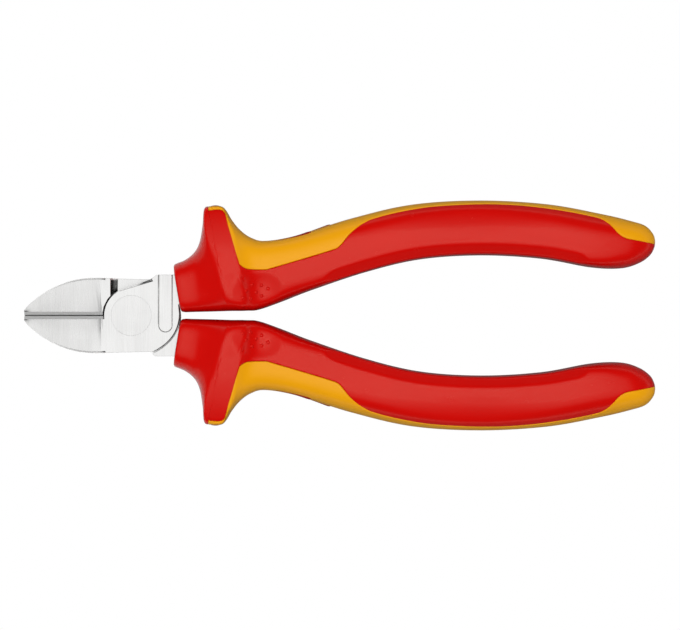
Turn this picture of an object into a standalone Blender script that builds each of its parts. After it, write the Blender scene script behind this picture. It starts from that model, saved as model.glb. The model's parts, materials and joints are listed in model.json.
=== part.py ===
"""Insulated diagonal cutting pliers, 140 mm long, lying flat with the jaws shut.

Two equal forged halves cross in a lap joint and turn on one flush rivet.  A half is
modelled once, about the pivot: +X runs from the pivot to the handle's end, +Y to the side
its handle is on, +Z out of its own joint plate.  The rear half is the front half turned
half a turn about X, so the two halves share their meshes.
"""

import math

import bmesh
import bpy
from mathutils import Vector

MM = 0.001

# Driving dimensions, in millimetres.
PIVOT_X = -46.1  # the pivot, from the middle of the whole tool's length
GRIP_LAND = 9.5  # half thickness across the flat lands of the hand guards
JOINT_HALF = 4.2  # half thickness of the lap joint
LAP_GAP = 0.05  # from the mid plane to each joint plate
BOSS_R = 5.95  # the round shoulder of a joint plate
RECESS_GAP = 0.38  # the gap seen round that shoulder
TIP_X = -23.9
EDGE_GAP = 0.04  # from the mid plane to each cutting edge, jaws shut
EDGE_BEVEL = 0.78  # width of the bevel beside a cutting edge
BEVEL_DEPTH = 0.36  # how far that bevel falls
RIVET_R = 2.75
RIVET_HEAD_R = 4.4
RIVET_CONE = 1.3  # depth of the rivet's conical head
RUNNING_GAP = 0.08
SLEEVE_WALL = 1.0
FIT_GAP = 0.25  # between pieces that are moulded against each other
PAD_DEPTH = 1.6  # the soft yellow zone, from its surface to the red core under it
INLAY_DEPTH = 0.6
INLAY_PROUD = 0.25
ROUND_STEPS = 48

# The grip, as sections from the inner edge of the handle to its outer edge:
# (inner x, y), (outer x, y), half thickness, squareness of the inner and the outer half.
GRIP = [
    ((10.98, 0.67), (9.20, 11.40), 6.2, 4.4, 3.2),
    ((13.00, 0.75), (11.70, 12.30), 6.45, 4.4, 3.2),
    ((15.00, 0.80), (13.90, 14.10), 6.85, 4.4, 3.4),
    ((17.20, 0.85), (15.10, 16.50), 7.6, 4.4, 3.8),
    ((19.00, 0.90), (15.75, 20.20), 8.4, 4.6, 4.2),
    ((20.40, 0.95), (16.10, 23.60), 9.1, 5.0, 4.6),
    ((22.00, 1.00), (17.40, 24.15), 10.0, 5.0, 4.6),
    ((23.90, 1.00), (19.80, 24.15), 10.2, 5.0, 4.6),
    ((25.60, 1.05), (20.80, 23.30), 10.0, 4.8, 4.4),
    ((27.20, 1.10), (22.00, 21.30), 8.9, 4.4, 3.8),
    ((29.00, 1.55), (23.90, 19.00), 8.0, 4.4, 3.6),
    ((31.00, 2.25), (26.40, 17.25), 7.55, 4.4, 3.4),
    ((33.80, 3.30), (29.60, 16.55), 7.4, 4.4, 3.4),
    ((40.00, 5.70), (36.50, 17.75), 7.6, 4.4, 3.3),
    ((52.00, 9.70), (48.50, 21.50), 8.0, 4.4, 2.7),
    ((64.00, 12.50), (62.00, 24.60), 8.2, 4.4, 2.35),
    ((77.50, 13.40), (77.00, 25.60), 8.2, 4.4, 2.3),
    ((91.00, 12.65), (92.00, 24.70), 7.9, 4.4, 2.3),
    ((102.0, 10.70), (104.3, 22.50), 7.3, 4.0, 2.3),
    ((108.5, 10.45), (110.8, 20.95), 6.4, 3.2, 2.3),
    ((112.5, 11.60), (113.9, 19.90), 5.0, 2.7, 2.3),
    ((114.9, 13.30), (115.6, 18.10), 3.3, 2.3, 2.3),
    ((115.9, 15.00), (116.1, 16.60), 1.4, 2.2, 2.2),
]

# The steel tang inside the grip, in the same form.
TANG = [
    ((11.4, 2.7), (11.0, 9.1), 4.1, 8.0, 8.0),
    ((14.0, 3.0), (13.5, 9.5), 3.9, 8.0, 8.0),
    ((22.0, 4.2), (20.5, 10.6), 3.5, 6.0, 6.0),
    ((30.0, 6.0), (28.0, 12.0), 3.2, 5.0, 4.0),
    ((44.0, 10.6), (42.0, 16.0), 3.0, 5.0, 4.0),
    ((60.0, 15.2), (59.0, 20.0), 2.9, 5.0, 4.0),
    ((77.0, 16.8), (77.0, 21.2), 2.7, 5.0, 4.0),
    ((92.0, 15.8), (93.0, 19.8), 2.5, 5.0, 4.0),
    ((101.0, 14.4), (102.0, 18.0), 2.1, 5.0, 4.0),
]
SLEEVE = [*TANG, ((102.6, 14.2), (103.6, 17.6), 1.9, 5.0, 4.0)]
SLEEVE_FROM_X = 14.0  # the sleeve's mouth, inside the collar

# The jaw, as sections across it: x, the back's y, half thickness at the back and at the bevel.
JAW = [
    (TIP_X, -1.2, 1.7, 1.55),
    (-22.8, -2.5, 1.95, 1.75),
    (-20.6, -4.25, 2.3, 2.0),
    (-18.4, -5.65, 2.65, 2.3),
    (-16.1, -6.75, 3.0, 2.62),
    (-13.9, -7.55, 3.3, 2.93),
    (-11.7, -8.05, 3.6, 3.25),
    (-9.5, -8.30, 3.9, 3.57),
    (-7.6, -8.35, 4.11, 3.9),
    (-6.3, -8.33, 4.17, 4.13),
    (-5.3, -8.28, 4.17, 4.17),
    (-4.2, -8.25, 4.17, 4.17),
]

# The edge of the yellow zone in plan, from the guard's tip to the handle's end.
PAD_EDGE = [
    (16.7, 25.0),
    (16.75, 23.05),
    (20.35, 23.05),
    (21.6, 19.4),
    (23.0, 14.9),
    (23.7, 12.0),
    (24.3, 11.0),
    (25.4, 10.3),
    (26.6, 10.1),
    (29.6, 10.05),
    (31.0, 10.35),
    (43.6, 14.1),
    (45.9, 15.1),
    (47.4, 16.9),
    (48.4, 18.1),
    (49.95, 19.5),
    (51.5, 20.5),
    (53.5, 21.4),
    (58.9, 22.8),
    (66.5, 24.05),
    (77.2, 24.6),
    (86.1, 24.3),
    (95.0, 23.2),
    (102.2, 21.8),
    (104.6, 20.85),
    (106.3, 19.3),
    (107.3, 18.1),
    (109.0, 17.0),
    (112.2, 16.4),
    (115.9, 15.7),
    (118.0, 15.2),
]
PAD_OUTSIDE = [(118.0, 32.0), (16.7, 32.0)]

# Red drops moulded into the yellow zone: x of the round head, height on the handle, tilt.
DROPS = {"center": (43.2, 0, 0), "front": (38.8, 3.6, 12), "back": (38.8, -3.6, -12)}
DROP_HEAD_R = 0.85
DROP_LENGTH = 7.4


def clear_scene():
    for obj in list(bpy.data.objects):
        bpy.data.objects.remove(obj, do_unlink=True)


def collection(name):
    made = bpy.data.collections.new(name)
    bpy.context.scene.collection.children.link(made)
    return made


def finish(name, color, roughness, metallic=0.0):
    """A Principled material, found by its name after its first use."""
    if name in bpy.data.materials:
        return bpy.data.materials[name]
    material = bpy.data.materials.new(name)
    material.use_nodes = True
    shader = material.node_tree.nodes["Principled BSDF"]
    shader.inputs["Base Color"].default_value = (*color, 1.0)
    shader.inputs["Roughness"].default_value = roughness
    shader.inputs["Metallic"].default_value = metallic
    material.diffuse_color = (*color, 1.0)
    return material


def steel():
    return finish("polished_steel", (0.78, 0.78, 0.77), 0.25, 1.0)


def red_plastic():
    return finish("red_grip", (0.62, 0.01, 0.01), 0.45)


def yellow_soft():
    return finish("yellow_grip", (0.86, 0.38, 0.01), 0.5)


def sleeve_plastic():
    return finish("inner_sleeve", (0.85, 0.62, 0.05), 0.5)


def mesh_object(name, bm, home):
    bmesh.ops.recalc_face_normals(bm, faces=bm.faces)
    mesh = bpy.data.meshes.new(name)
    bm.to_mesh(mesh)
    bm.free()
    made = bpy.data.objects.new(name, mesh)
    home.objects.link(made)
    return made


def smooth_rows(rows, steps):
    """Rows of numbers read more finely from a cubic through them."""
    found = []
    for i in range(len(rows) - 1):
        before, start, end = rows[max(0, i - 1)], rows[i], rows[i + 1]
        after = rows[min(len(rows) - 1, i + 2)]
        for step in range(steps):
            t = step / steps
            row = []
            for a, b, c, d in zip(before, start, end, after):
                curve = (2 * a - 5 * b + 4 * c - d) * t**2 + (3 * b - a - 3 * c + d) * t**3
                row.append(0.5 * (2 * b + (c - a) * t + curve))
            found.append(row)
    found.append(rows[-1])
    return found


def smooth_stations(stations, steps):
    """Sections read more finely, each as one flat list of numbers."""
    return smooth_rows([[*inner, *outer, *rest] for inner, outer, *rest in stations], steps)


def ring(station, grow, sides, land):
    """The points of one section: a rounded box between two edge points, flat past the land."""
    inner_x, inner_y, outer_x, outer_y, half, inner_square, outer_square = station
    inner, outer = Vector((inner_x, inner_y, 0)), Vector((outer_x, outer_y, 0))
    middle = (inner + outer) / 2
    reach = (outer - inner) / 2
    reach = reach.normalized() * (reach.length + grow)
    points = []
    for k in range(sides):
        angle = 2 * math.pi * (k + 0.5) / sides
        c, s = math.cos(angle), math.sin(angle)
        square = outer_square if c > 0 else inner_square
        across = math.copysign(abs(c) ** (2 / square), c)
        up = math.copysign(abs(s) ** (2 / square), s) * (half + grow)
        up = max(-land - grow, min(land + grow, up))
        points.append((middle + reach * across + Vector((0, 0, up))) * MM)
    return points


def loft(name, home, stations, grow=0.0, sides=20, steps=1, land=GRIP_LAND):
    """A closed skin over the sections, leaving out those that grow makes too small."""
    fine = [
        s
        for s in smooth_stations(stations, steps)
        if min(s[4], math.dist(s[0:2], s[2:4]) / 2) + grow > 0.4
    ]
    bm = bmesh.new()
    rings = [[bm.verts.new(p) for p in ring(s, grow, sides, land)] for s in fine]
    for near, far in zip(rings, rings[1:]):
        for k in range(sides):
            after = (k + 1) % sides
            bm.faces.new((near[k], near[after], far[after], far[k]))
    bm.faces.new(rings[0])
    bm.faces.new(rings[-1])
    return mesh_object(name, bm, home)


def outline_solid(name, home, points, low, high):
    """A flat outline as a filled 2D curve with an extrusion, made a mesh from low to high."""
    curve = bpy.data.curves.new(name, "CURVE")
    curve.dimensions = "2D"
    curve.fill_mode = "BOTH"
    curve.extrude = (high - low) / 2 * MM
    spline = curve.splines.new("POLY")
    spline.points.add(len(points) - 1)
    for knot, (x, y) in zip(spline.points, points):
        knot.co = (x * MM, y * MM, 0, 1)
    spline.use_cyclic_u = True
    guide = bpy.data.objects.new(name + "_curve", curve)
    guide.location.z = (high + low) / 2 * MM
    home.objects.link(guide)
    bpy.context.view_layer.update()
    evaluated = guide.evaluated_get(bpy.context.evaluated_depsgraph_get())
    bm = bmesh.new()
    bm.from_mesh(bpy.data.meshes.new_from_object(evaluated))
    bmesh.ops.remove_doubles(bm, verts=bm.verts, dist=1e-6)
    bmesh.ops.translate(bm, verts=bm.verts, vec=guide.location)
    bpy.data.objects.remove(guide)
    return mesh_object(name, bm, home)


def turned_solid(name, home, profile):
    """A profile of (radius, z) turned about Z with a Screw modifier."""
    bm = bmesh.new()
    knots = [bm.verts.new((r * MM, 0, z * MM)) for r, z in profile]
    for a, b in zip(knots, knots[1:]):
        bm.edges.new((a, b))
    mesh = bpy.data.meshes.new(name)
    bm.to_mesh(mesh)
    bm.free()
    made = bpy.data.objects.new(name, mesh)
    home.objects.link(made)
    screw = made.modifiers.new("turn", "SCREW")
    screw.steps = screw.render_steps = ROUND_STEPS
    screw.use_merge_vertices = True
    screw.merge_threshold = 1e-6
    bake(made)
    return made


def bake(obj):
    """The object's mesh as its modifiers leave it, with the modifiers gone."""
    bpy.context.view_layer.update()
    evaluated = obj.evaluated_get(bpy.context.evaluated_depsgraph_get())
    mesh = bpy.data.meshes.new_from_object(evaluated)
    obj.modifiers.clear()
    obj.data = mesh


def place_mesh(obj):
    """The object's place and turn moved into its mesh."""
    bpy.context.view_layer.update()
    obj.data.transform(obj.matrix_world)
    obj.rotation_euler = (0, 0, 0)
    obj.location = (0, 0, 0)
    return obj


def combine(obj, other, operation):
    step = obj.modifiers.new(operation.lower(), "BOOLEAN")
    step.operation = operation
    step.object = other
    bake(obj)


def arc(radius, start, end, steps):
    """Points on a circle about the pivot, angles in degrees."""
    angles = [math.radians(start + (end - start) * k / steps) for k in range(steps + 1)]
    return [(radius * math.cos(a), radius * math.sin(a)) for a in angles]


def shoulder_curve(gap, last, steps):
    """Where a joint plate meets the other half's neck, from its outer end for part of its run."""
    ends = [Vector((4.5, -8.1)), Vector((10.4, -5.4)), Vector((10.6, 0.3))]
    found = []
    for k in range(steps + 1):
        t = last * k / steps
        p = ends[0] * (1 - t) ** 2 + ends[1] * 2 * t * (1 - t) + ends[2] * t * t
        found.append(tuple(p + p.normalized() * gap))
    return found


def jaw(home):
    """The wedge-shaped jaw: thick along its back, thin at the bevelled cutting edge."""
    bm = bmesh.new()
    sections = []
    for x, back, thick, thin in smooth_rows(JAW, 3):
        shoulder = -EDGE_BEVEL - EDGE_GAP
        side = [(-EDGE_GAP, 0.08), (-EDGE_GAP - 0.1, thin - BEVEL_DEPTH), (shoulder, thin)]
        for t in (0.3, 0.6, 0.94):
            crown = thin + (thick - thin) * (1 - (1 - t) ** 2)
            side.append((shoulder + (back - shoulder) * t, crown))
        side += [(back * 0.985, thick * 0.93), (back, thick * 0.62)]
        spots = side + [(y, -z) for y, z in reversed(side)]
        sections.append([bm.verts.new((x * MM, y * MM, z * MM)) for y, z in spots])
    for near, far in zip(sections, sections[1:]):
        for k in range(len(near)):
            after = (k + 1) % len(near)
            bm.faces.new((near[k], near[after], far[after], far[k]))
    bm.faces.new(sections[0])
    bm.faces.new(sections[-1])
    return mesh_object("jaw", bm, home)


def plate_outline():
    """The joint plate in plan: boss, straight top, tang root, shoulder arc and straight back."""
    back = [(3.9, -8.0), (-2.8, -8.15), (-5.7, -8.25), (-6.1, -1.0)]
    shoulder = shoulder_curve(0, 1.0, 10)
    return [
        *arc(BOSS_R, 187, 116, 16),
        (-2.3, 5.55),
        (4.2, 7.95),
        (5.6, 9.0),
        (9.0, 9.0),
        (11.5, 9.2),
        (11.5, 2.6),
        (10.4, 2.4),
        *reversed(shoulder),
        *back,
    ]


def jaw_root_outline(end_x):
    """The thick stock behind the jaw on the other plate's side, round that plate's boss."""
    clear = BOSS_R + RECESS_GAP
    last = math.degrees(math.acos(end_x / clear))
    return [*arc(clear, 208, 360 - last, 6), (end_x, -8.2), (-5.7, -8.25)]


def jaw_and_root(home):
    """Jaw and stock, cleared for the other plate's boss, the stock's end leaning outward."""
    both = jaw(home)
    root = outline_solid(
        "jaw_root", home, jaw_root_outline(-3.3), -JOINT_HALF, LAP_GAP + 0.6
    )
    combine(both, root, "UNION")
    room = outline_solid(
        "boss_room", home, arc(BOSS_R + RECESS_GAP, 0, 350, 35 * 2), -6, LAP_GAP
    )
    combine(both, room, "DIFFERENCE")
    slope = outline_solid(
        "lean", home, [(-3.2, 0), (0, 0), (0, -12), (-3.2, -12)], -6, 0
    )
    for vertex in slope.data.vertices:
        if vertex.co.x < -1 * MM and vertex.co.z < -1 * MM:
            vertex.co.x -= 2.0 * MM
    combine(both, slope, "DIFFERENCE")
    return both


def plate_chamfer(home):
    """A shallow chamfer along the plate's straight edge, wider toward the handle."""
    near, far = Vector((-2.6, 5.44)), Vector((4.6, 8.1))
    out = Vector((near.y - far.y, far.x - near.x)).normalized()
    made = outline_solid(
        "chamfer",
        home,
        [near - out * 0.12, far - out * 0.62, far + out, near + out],
        JOINT_HALF,
        JOINT_HALF + 1,
    )
    for vertex in made.data.vertices:
        flat = Vector((vertex.co.x, vertex.co.y)) / MM
        if (flat - near).dot(out) > 0.5 and vertex.co.z < (JOINT_HALF + 0.5) * MM:
            vertex.co.z -= 0.95 * MM
    return made


def neck_outline():
    """The full-thickness tang root past the other plate's shoulder arc."""
    shoulder = [(x, -y) for x, y in shoulder_curve(RECESS_GAP, 0.7, 8)]
    return [(5.2, 9.0), *shoulder, (12.6, 2.9), (12.6, 9.2), (9.0, 9.0)]


def rivet_profile(gap, top):
    """Shank with a cone at each end; top is how far the profile runs past the mid plane."""
    shank, head = RIVET_R + gap, RIVET_HEAD_R + gap
    cone_top, cone_foot = JOINT_HALF - 0.1, JOINT_HALF - 0.1 - RIVET_CONE
    upper = [(0, top), (head, top), (head, cone_top - 0.05), (shank, cone_foot)]
    lower = [(r, -z) for r, z in reversed(upper)]
    return upper + lower


def forged_half(parts, cutters):
    """One forging: jaw, joint plate, neck and tang in one piece, bored for the rivet."""
    half = outline_solid(
        "front_forging", parts, plate_outline(), LAP_GAP, JOINT_HALF
    )
    neck = outline_solid(
        "neck", cutters, neck_outline(), -JOINT_HALF, LAP_GAP + 0.6
    )
    tang = loft("tang", cutters, TANG, sides=16, steps=2, land=JOINT_HALF)
    for piece in (jaw_and_root(cutters), neck, tang):
        combine(half, piece, "UNION")
    combine(half, plate_chamfer(cutters), "DIFFERENCE")
    bore = turned_solid("bore", cutters, rivet_profile(RUNNING_GAP, 6.0))
    combine(half, bore, "DIFFERENCE")
    half.data.materials.append(steel())
    return half


def rivet(parts):
    pin = turned_solid("pivot_rivet", parts, rivet_profile(0, JOINT_HALF - 0.03))
    pin.data.materials.append(steel())
    return pin


def tang_between(name, home, cutters, stations, low_x, high_x, grow):
    """The tang's shape, grown all round and kept over one stretch of the handle."""
    made = loft(name, home, stations, grow=grow, sides=16, steps=2, land=JOINT_HALF)
    corners = [(low_x, -2), (high_x, -2), (high_x, 30), (low_x, 30)]
    keep = outline_solid(name + "_keep", cutters, corners, -12, 12)
    combine(made, keep, "INTERSECT")
    return made


def collar_mouth(home):
    """The opening in the collar's front face that the neck of the forging goes into."""
    high = JOINT_HALF + FIT_GAP
    corners = [(6.0, 2.2), (12.9, 2.3), (12.9, 9.6), (6.0, 9.5)]
    return outline_solid("collar_mouth", home, corners, -high, high)


def sleeve(parts, cutters):
    """The inner insulating sleeve: a close tube over the tang, shut at the handle's end."""
    made = tang_between("sleeve_front", parts, cutters, SLEEVE, SLEEVE_FROM_X, 120, SLEEVE_WALL)
    inside = tang_between("sleeve_bore", cutters, cutters, TANG, 6, 120, 0.15)
    combine(made, inside, "DIFFERENCE")
    made.data.materials.append(sleeve_plastic())
    return made


def pad_region(name, home, shift):
    """The yellow zone in plan as a tall prism, its edge moved towards the outside by shift."""
    edge = [Vector(p) for p in PAD_EDGE]
    moved = []
    for i, p in enumerate(edge):
        along = (edge[min(i + 1, len(edge) - 1)] - edge[max(i - 1, 0)]).normalized()
        moved.append(tuple(p + Vector((-along.y, along.x)) * shift))
    return outline_solid(name, home, moved + PAD_OUTSIDE, -14, 14)


def drop_outline():
    """A drop in its own plane: round head at the origin, tail running to -X."""
    head = [
        (
            DROP_HEAD_R * math.cos(math.radians(a)),
            DROP_HEAD_R * math.sin(math.radians(a)),
        )
        for a in range(-100, 101, 25)
    ]
    return [*head, (-DROP_LENGTH, 0.12), (-DROP_LENGTH, -0.12)]


def rail_point(x):
    """The handle's outer edge at x, with its direction, from the grip's own sections."""
    fine = smooth_stations(GRIP, 4)
    spots = [Vector((s[2], s[3])) for s in fine]
    for a, b in zip(spots, spots[1:]):
        if a.x <= x <= b.x and x > 25:
            return a.lerp(b, (x - a.x) / (b.x - a.x)), (b - a).normalized()
    raise ValueError("no outer edge at that x")


def drop_prism(name, home, place, grow):
    """A drop's outline run through the surface, square to it."""
    x, height, tilt = DROPS[place]
    spot, along = rail_point(x)
    points = [Vector(p) for p in drop_outline()]
    points = [tuple(p + p.normalized() * grow) for p in points]
    made = outline_solid(name, home, points, -1.6, 2.5)
    made.rotation_euler = (math.radians(tilt - 90), 0, math.atan2(along.y, along.x))
    made.location = (spot.x * MM, spot.y * MM, height * MM)
    return place_mesh(made)


def guard_pill_prism(name, home, grow):
    """A long round-ended inlay in the guard's tip, running across the tool's thickness."""
    middle, half_width, half_length = 18.55, 0.95 + grow, 4.2
    ends = [
        (
            side * (half_length + half_width * math.cos(math.radians(a))),
            half_width * math.sin(math.radians(a)) * side,
        )
        for side in (1, -1)
        for a in range(-90, 91, 30)
    ]
    made = outline_solid(name, home, ends, 22.0, 27.0)
    made.rotation_euler = (-math.pi / 2, math.pi / 2, 0)
    made.location.x = middle * MM
    return place_mesh(made)


def inlay(name, parts, prism, cutters):
    """The slice of a prism from just proud of the grip's surface down into the yellow zone."""
    made = loft(name, parts, GRIP, grow=INLAY_PROUD, land=GRIP_LAND - INLAY_PROUD)
    combine(made, prism, "INTERSECT")
    under = loft(name + "_under", cutters, GRIP, grow=-INLAY_DEPTH)
    combine(made, under, "DIFFERENCE")
    made.data.materials.append(red_plastic())
    return made


def red_grip(parts, cutters):
    """The red body: the whole grip less the yellow zone's bed and the tang's cavity."""
    body = loft("grip_front", parts, GRIP, steps=2)
    bed = pad_region("pad_bed", cutters, 0)
    core = loft("core", cutters, GRIP, grow=-PAD_DEPTH)
    combine(bed, core, "DIFFERENCE")
    combine(body, bed, "DIFFERENCE")
    combine(body, collar_mouth(cutters), "DIFFERENCE")
    low = SLEEVE_FROM_X - FIT_GAP
    neck = tang_between("neck_room", cutters, cutters, TANG, 6, low + 0.5, FIT_GAP)
    combine(body, neck, "DIFFERENCE")
    room = SLEEVE_WALL + FIT_GAP
    cavity = tang_between("sleeve_room", cutters, cutters, SLEEVE, low, 120, room)
    combine(body, cavity, "DIFFERENCE")
    body.data.materials.append(red_plastic())
    return body


def yellow_pad(parts, cutters):
    """The soft yellow zone, wrapped round the outer side of the red core."""
    pad = loft("soft_zone_front", parts, GRIP, steps=2)
    combine(pad, pad_region("pad_edge", cutters, FIT_GAP), "INTERSECT")
    core = loft("core_clear", cutters, GRIP, grow=FIT_GAP - PAD_DEPTH)
    combine(pad, core, "DIFFERENCE")
    pockets = [guard_pill_prism("pill_pocket", cutters, FIT_GAP)]
    pockets += [drop_prism("pocket_" + place, cutters, place, FIT_GAP) for place in DROPS]
    floor = loft("pocket_floor", cutters, GRIP, grow=-INLAY_DEPTH - FIT_GAP)
    for pocket in pockets:
        combine(pocket, floor, "DIFFERENCE")
        combine(pad, pocket, "DIFFERENCE")
    pad.data.materials.append(yellow_soft())
    return pad


def pose_half(name, turned):
    """An empty on the pivot's axis that carries one half of the tool."""
    empty = bpy.data.objects.new(name, None)
    bpy.context.scene.collection.objects.link(empty)
    empty.location = (PIVOT_X * MM, 0, GRIP_LAND * MM)
    empty.rotation_euler.x = math.pi if turned else 0
    return empty


def main():
    clear_scene()
    parts = collection("diagonal_cutting_pliers")
    cutters = collection("cutters")
    front = [forged_half(parts, cutters), sleeve(parts, cutters)]
    front += [red_grip(parts, cutters), yellow_pad(parts, cutters)]
    pill = guard_pill_prism("pill_prism", cutters, 0)
    front.append(inlay("guard_inlay_front", parts, pill, cutters))
    for place in DROPS:
        prism = drop_prism("prism_" + place, cutters, place, 0)
        front.append(inlay(f"grip_drop_front_{place}", parts, prism, cutters))
    pin = rivet(parts)
    front_half, rear_half = pose_half("front_half", False), pose_half("rear_half", True)
    for piece in front:
        piece.parent = front_half
        twin = bpy.data.objects.new(piece.name.replace("front", "rear", 1), piece.data)
        parts.objects.link(twin)
        twin.parent = rear_half
    pin.parent = rear_half
    for cutter in cutters.objects:
        cutter.hide_render = True
        cutter.display_type = "WIRE"
    for obj in parts.objects:
        obj.data.set_sharp_from_angle(angle=math.radians(35))


main()
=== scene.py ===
# %% [markdown]
# # Insulated diagonal cutting pliers
# The engineering model already fixes every size, body and joint, so this lesson only makes
# the tool look right around it. Each step says what the piece is on the real tool, how it
# could be made, and why it is made this way. Sizes are in millimetres about the pivot and
# become metres only when a piece is delivered.

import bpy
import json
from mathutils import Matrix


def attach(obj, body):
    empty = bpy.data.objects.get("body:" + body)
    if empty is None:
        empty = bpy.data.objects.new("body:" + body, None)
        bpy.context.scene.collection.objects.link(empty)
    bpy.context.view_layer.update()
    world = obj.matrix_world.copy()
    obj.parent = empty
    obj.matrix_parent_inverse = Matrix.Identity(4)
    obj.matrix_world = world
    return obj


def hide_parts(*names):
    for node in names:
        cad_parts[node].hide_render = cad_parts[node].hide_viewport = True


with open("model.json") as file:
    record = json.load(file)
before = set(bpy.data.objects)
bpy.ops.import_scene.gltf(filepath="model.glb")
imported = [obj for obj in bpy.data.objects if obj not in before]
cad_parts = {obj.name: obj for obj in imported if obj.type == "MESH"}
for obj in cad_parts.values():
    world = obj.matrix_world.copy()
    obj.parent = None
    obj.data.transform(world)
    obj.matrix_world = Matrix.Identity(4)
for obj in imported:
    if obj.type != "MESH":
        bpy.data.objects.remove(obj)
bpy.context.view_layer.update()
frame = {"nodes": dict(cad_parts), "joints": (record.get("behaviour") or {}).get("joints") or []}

# %% [markdown]
# ## Modules and shared values
# Blender works in metres, a maker of tools in millimetres. One constant turns one into the
# other, and one point, the pivot, places everything that follows.

# %% Modules and shared values
import json
import math

import bmesh
import bpy
from mathutils import Matrix, Vector
from mathutils.bvhtree import BVHTree

MM = 0.001
PIVOT = Vector(frame["joints"][0]["pos_m"])
HALVES = {"front": "front_half", "rear": "rear_half"}
print("pivot at", tuple(round(c / MM, 2) for c in PIVOT), "mm")

# %% [markdown]
# ## Camera
# The tool is seen from straight above. A long lens about 650 mm away keeps the outline
# almost without perspective, and the ends of the guards just show, as they should.

# %% Camera
CAMERA_HEIGHT = 0.65
FIELD_WIDTH = 0.1511  # what the frame spans, at the height of the pivot's middle
SENSOR = 36.0
PIVOT_TO_MIDDLE = 46.1  # from the pivot to the middle of the tool's length
ASIDE = 0.1  # the tool lies a hair off the middle of the view

lens = bpy.data.cameras.new("camera_above")
lens.sensor_width = SENSOR
lens.lens = SENSOR * CAMERA_HEIGHT / FIELD_WIDTH
camera = bpy.data.objects.new("camera_above", lens)
camera.location = (PIVOT.x + PIVOT_TO_MIDDLE * MM, ASIDE * MM, PIVOT.z + CAMERA_HEIGHT)
bpy.context.scene.collection.objects.link(camera)
bpy.context.scene.camera = camera
bpy.context.scene.view_settings.view_transform = "Standard"
print("lens", round(lens.lens, 1), "mm")

# %% [markdown]
# ## Shader maths
# A material is easier to read as a formula. `Wire` wraps a socket, so that `a * 0.5 + b`
# adds the Math nodes for it. `Graph` has one method for every other node: its type, its
# settings, then the values or links of its sockets. `Finish` is such a graph for a material.


# %% Wire
class Wire:
    """One output socket that can be used in sums."""

    def __init__(self, graph, socket):
        self.graph = graph
        self.socket = socket

    def math(self, operation, *others):
        return self.graph.node("ShaderNodeMath", {"operation": operation}, self, *others)

    def __add__(self, other):
        return self.math("ADD", other)

    def __sub__(self, other):
        return self.math("SUBTRACT", other)

    def __mul__(self, other):
        return self.math("MULTIPLY", other)

    def __rsub__(self, other):
        return self.graph.node("ShaderNodeMath", {"operation": "SUBTRACT"}, other, self)

    def size(self):
        return self.math("ABSOLUTE")

    __radd__ = __add__
    __rmul__ = __mul__


print("sums of sockets ready")


# %% Graph
class Graph:
    """A node tree under construction."""

    def __init__(self, tree):
        self.tree = tree

    def plug(self, socket, value):
        if isinstance(value, Wire):
            self.tree.links.new(value.socket, socket)
        else:
            socket.default_value = value

    def node(self, kind, settings, *values, output=0, **named):
        """A node's settings first, then its sockets in order; None leaves one as it is."""
        made = self.tree.nodes.new(kind)
        for key, value in settings.items():
            if key == "stops":
                grey_ramp(made.color_ramp, value)
            else:
                setattr(made, key, value)
        for socket, value in zip(made.inputs, values):
            if value is not None:
                self.plug(socket, value)
        for key, value in named.items():
            self.plug(made.inputs[key.replace("_", " ")], value)
        return Wire(self, made.outputs[output])

    def split(self, vector):
        """The three numbers of a vector."""
        first = self.node("ShaderNodeSeparateXYZ", {}, vector)
        return [Wire(self, socket) for socket in first.socket.node.outputs]


def grey_ramp(ramp, stops):
    """Fills a colour ramp with greys, given as (position, shade)."""
    while len(ramp.elements) < len(stops):
        ramp.elements.new(0.5)
    for stop, (position, shade) in zip(ramp.elements, stops):
        stop.position = position
        stop.color = (shade, shade, shade, 1)


print("node method ready")


# %% Finish
class Finish(Graph):
    """A material under construction."""

    def __init__(self, name):
        self.material = bpy.data.materials.new(name)
        self.material.use_nodes = True
        super().__init__(self.material.node_tree)
        self.shader = self.tree.nodes["Principled BSDF"]
        self.place = self.node("ShaderNodeTexCoord", {}, output="Object")

    def stretched(self, x, y, z):
        """The object's coordinates, scaled for a pattern that is longer one way."""
        return self.node("ShaderNodeMapping", {}, Vector=self.place, Scale=(x, y, z))

    def noise(self, scale, detail=2.0, vector=None, roughness=0.5):
        return self.node(
            "ShaderNodeTexNoise",
            {},
            Vector=vector or self.place,
            Scale=scale,
            Detail=detail,
            Roughness=roughness,
        )

    def step(self, value, low, high):
        """0 below low, 1 above high, smooth between."""
        return self.node(
            "ShaderNodeMapRange",
            {"interpolation_type": "SMOOTHSTEP"},
            Value=value,
            From_Min=low,
            From_Max=high,
        )

    def tint(self, mask, shade, other):
        """One colour where the mask is 0, the other where it is 1."""
        pair = [(*c, 1) if isinstance(c, tuple) else c for c in (shade, other)]
        others = [None] * 5  # a Mix node's sockets for numbers and vectors come between
        return self.node("ShaderNodeMix", {"data_type": "RGBA"}, mask, *others, *pair, output=2)

    def relief(self, height, depth, strength=1.0):
        """Bump of that depth in metres from a height that runs from 0 to 1."""
        bump = self.node(
            "ShaderNodeBump",
            {},
            Height=height,
            Distance=depth,
            Strength=strength,
            output="Normal",
        )
        self.plug(self.shader.inputs["Normal"], bump)

    def set(self, **inputs):
        for key, value in inputs.items():
            self.plug(self.shader.inputs[key.replace("_", " ")], value)
        return self.material


print("material helpers ready")
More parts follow.
